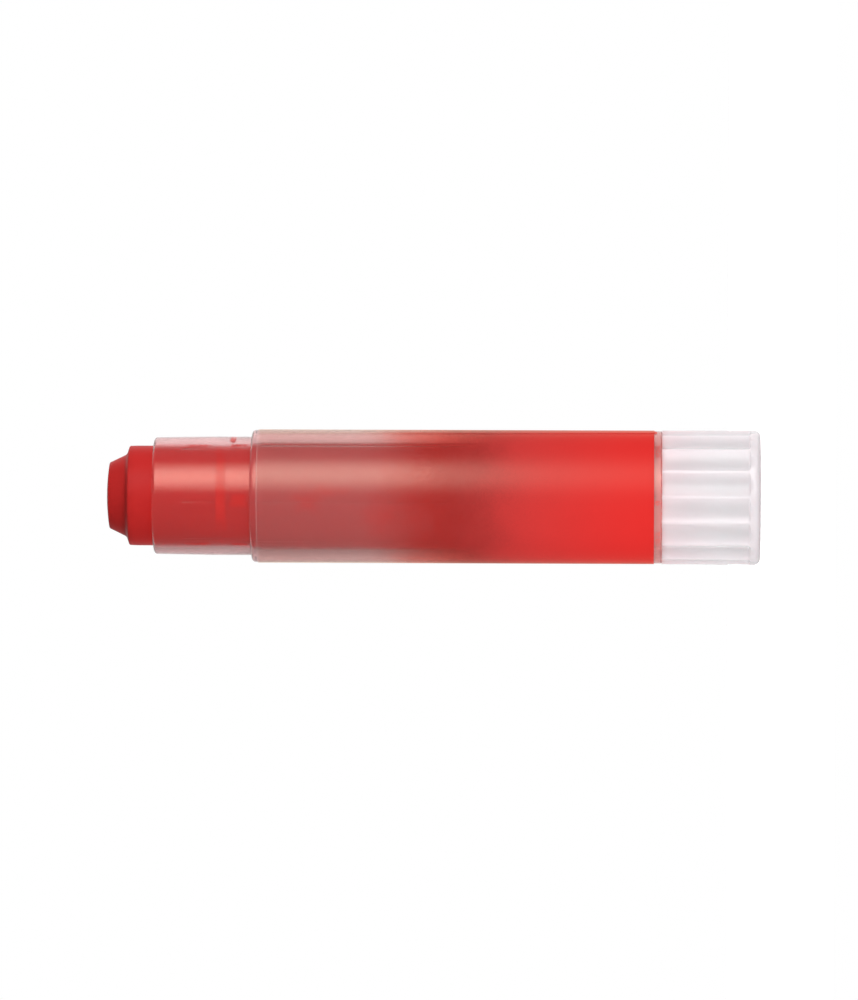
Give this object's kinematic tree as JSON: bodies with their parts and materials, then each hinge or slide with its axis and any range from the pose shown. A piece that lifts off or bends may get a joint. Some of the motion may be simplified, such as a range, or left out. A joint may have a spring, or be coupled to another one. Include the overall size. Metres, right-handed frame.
{
  "type": "pigment stick",
  "caption": "Twist-up pigment stick: a fluted knob turns an inner screw that raises the pigment out of a clear barrel wrapped in printed film.",
  "frame": {"origin": "centre of the knob's flat base, on the surface that the stick stands on", "axes": "+Z along the stick from the knob to the tip; X and Y across it, the same all round but for the keyways and the film's seam"},
  "size_m": [0.0162, 0.0162, 0.0784],
  "materials": {
    "clear_plastic": "clear, lightly frosted, tinted pink by the pigment",
    "printed_film": "glossy film printed red, fading to clear at the neck end",
    "frosted_plastic": "frosted translucent white",
    "white_plastic": "moulded satin",
    "pigment": "waxy matt"
  },
  "bodies": {
    "barrel": {"barrel": "clear_plastic", "label_film": "printed_film"},
    "knob": {"twist_knob": "frosted_plastic", "screw_spindle": "white_plastic"},
    "carriage": {"carrier_cup": "white_plastic", "pigment_stick": "pigment"}
  },
  "joints": [
    {"name": "knob_turn", "type": "hinge", "parent": "barrel", "child": "knob", "pos_m": [0, 0, 0], "axis": [0, 0, 1], "range_deg": [-840, 3960]},
    {"name": "stick_slide", "type": "slide", "parent": "barrel", "child": "carriage", "axis": [0, 0, 1], "range_m": [-0.007, 0.033]}
  ],
  "couplings": [
    {"joint": "knob_turn", "follows": "stick_slide", "rad_per_m": 2094.4}
  ]
}
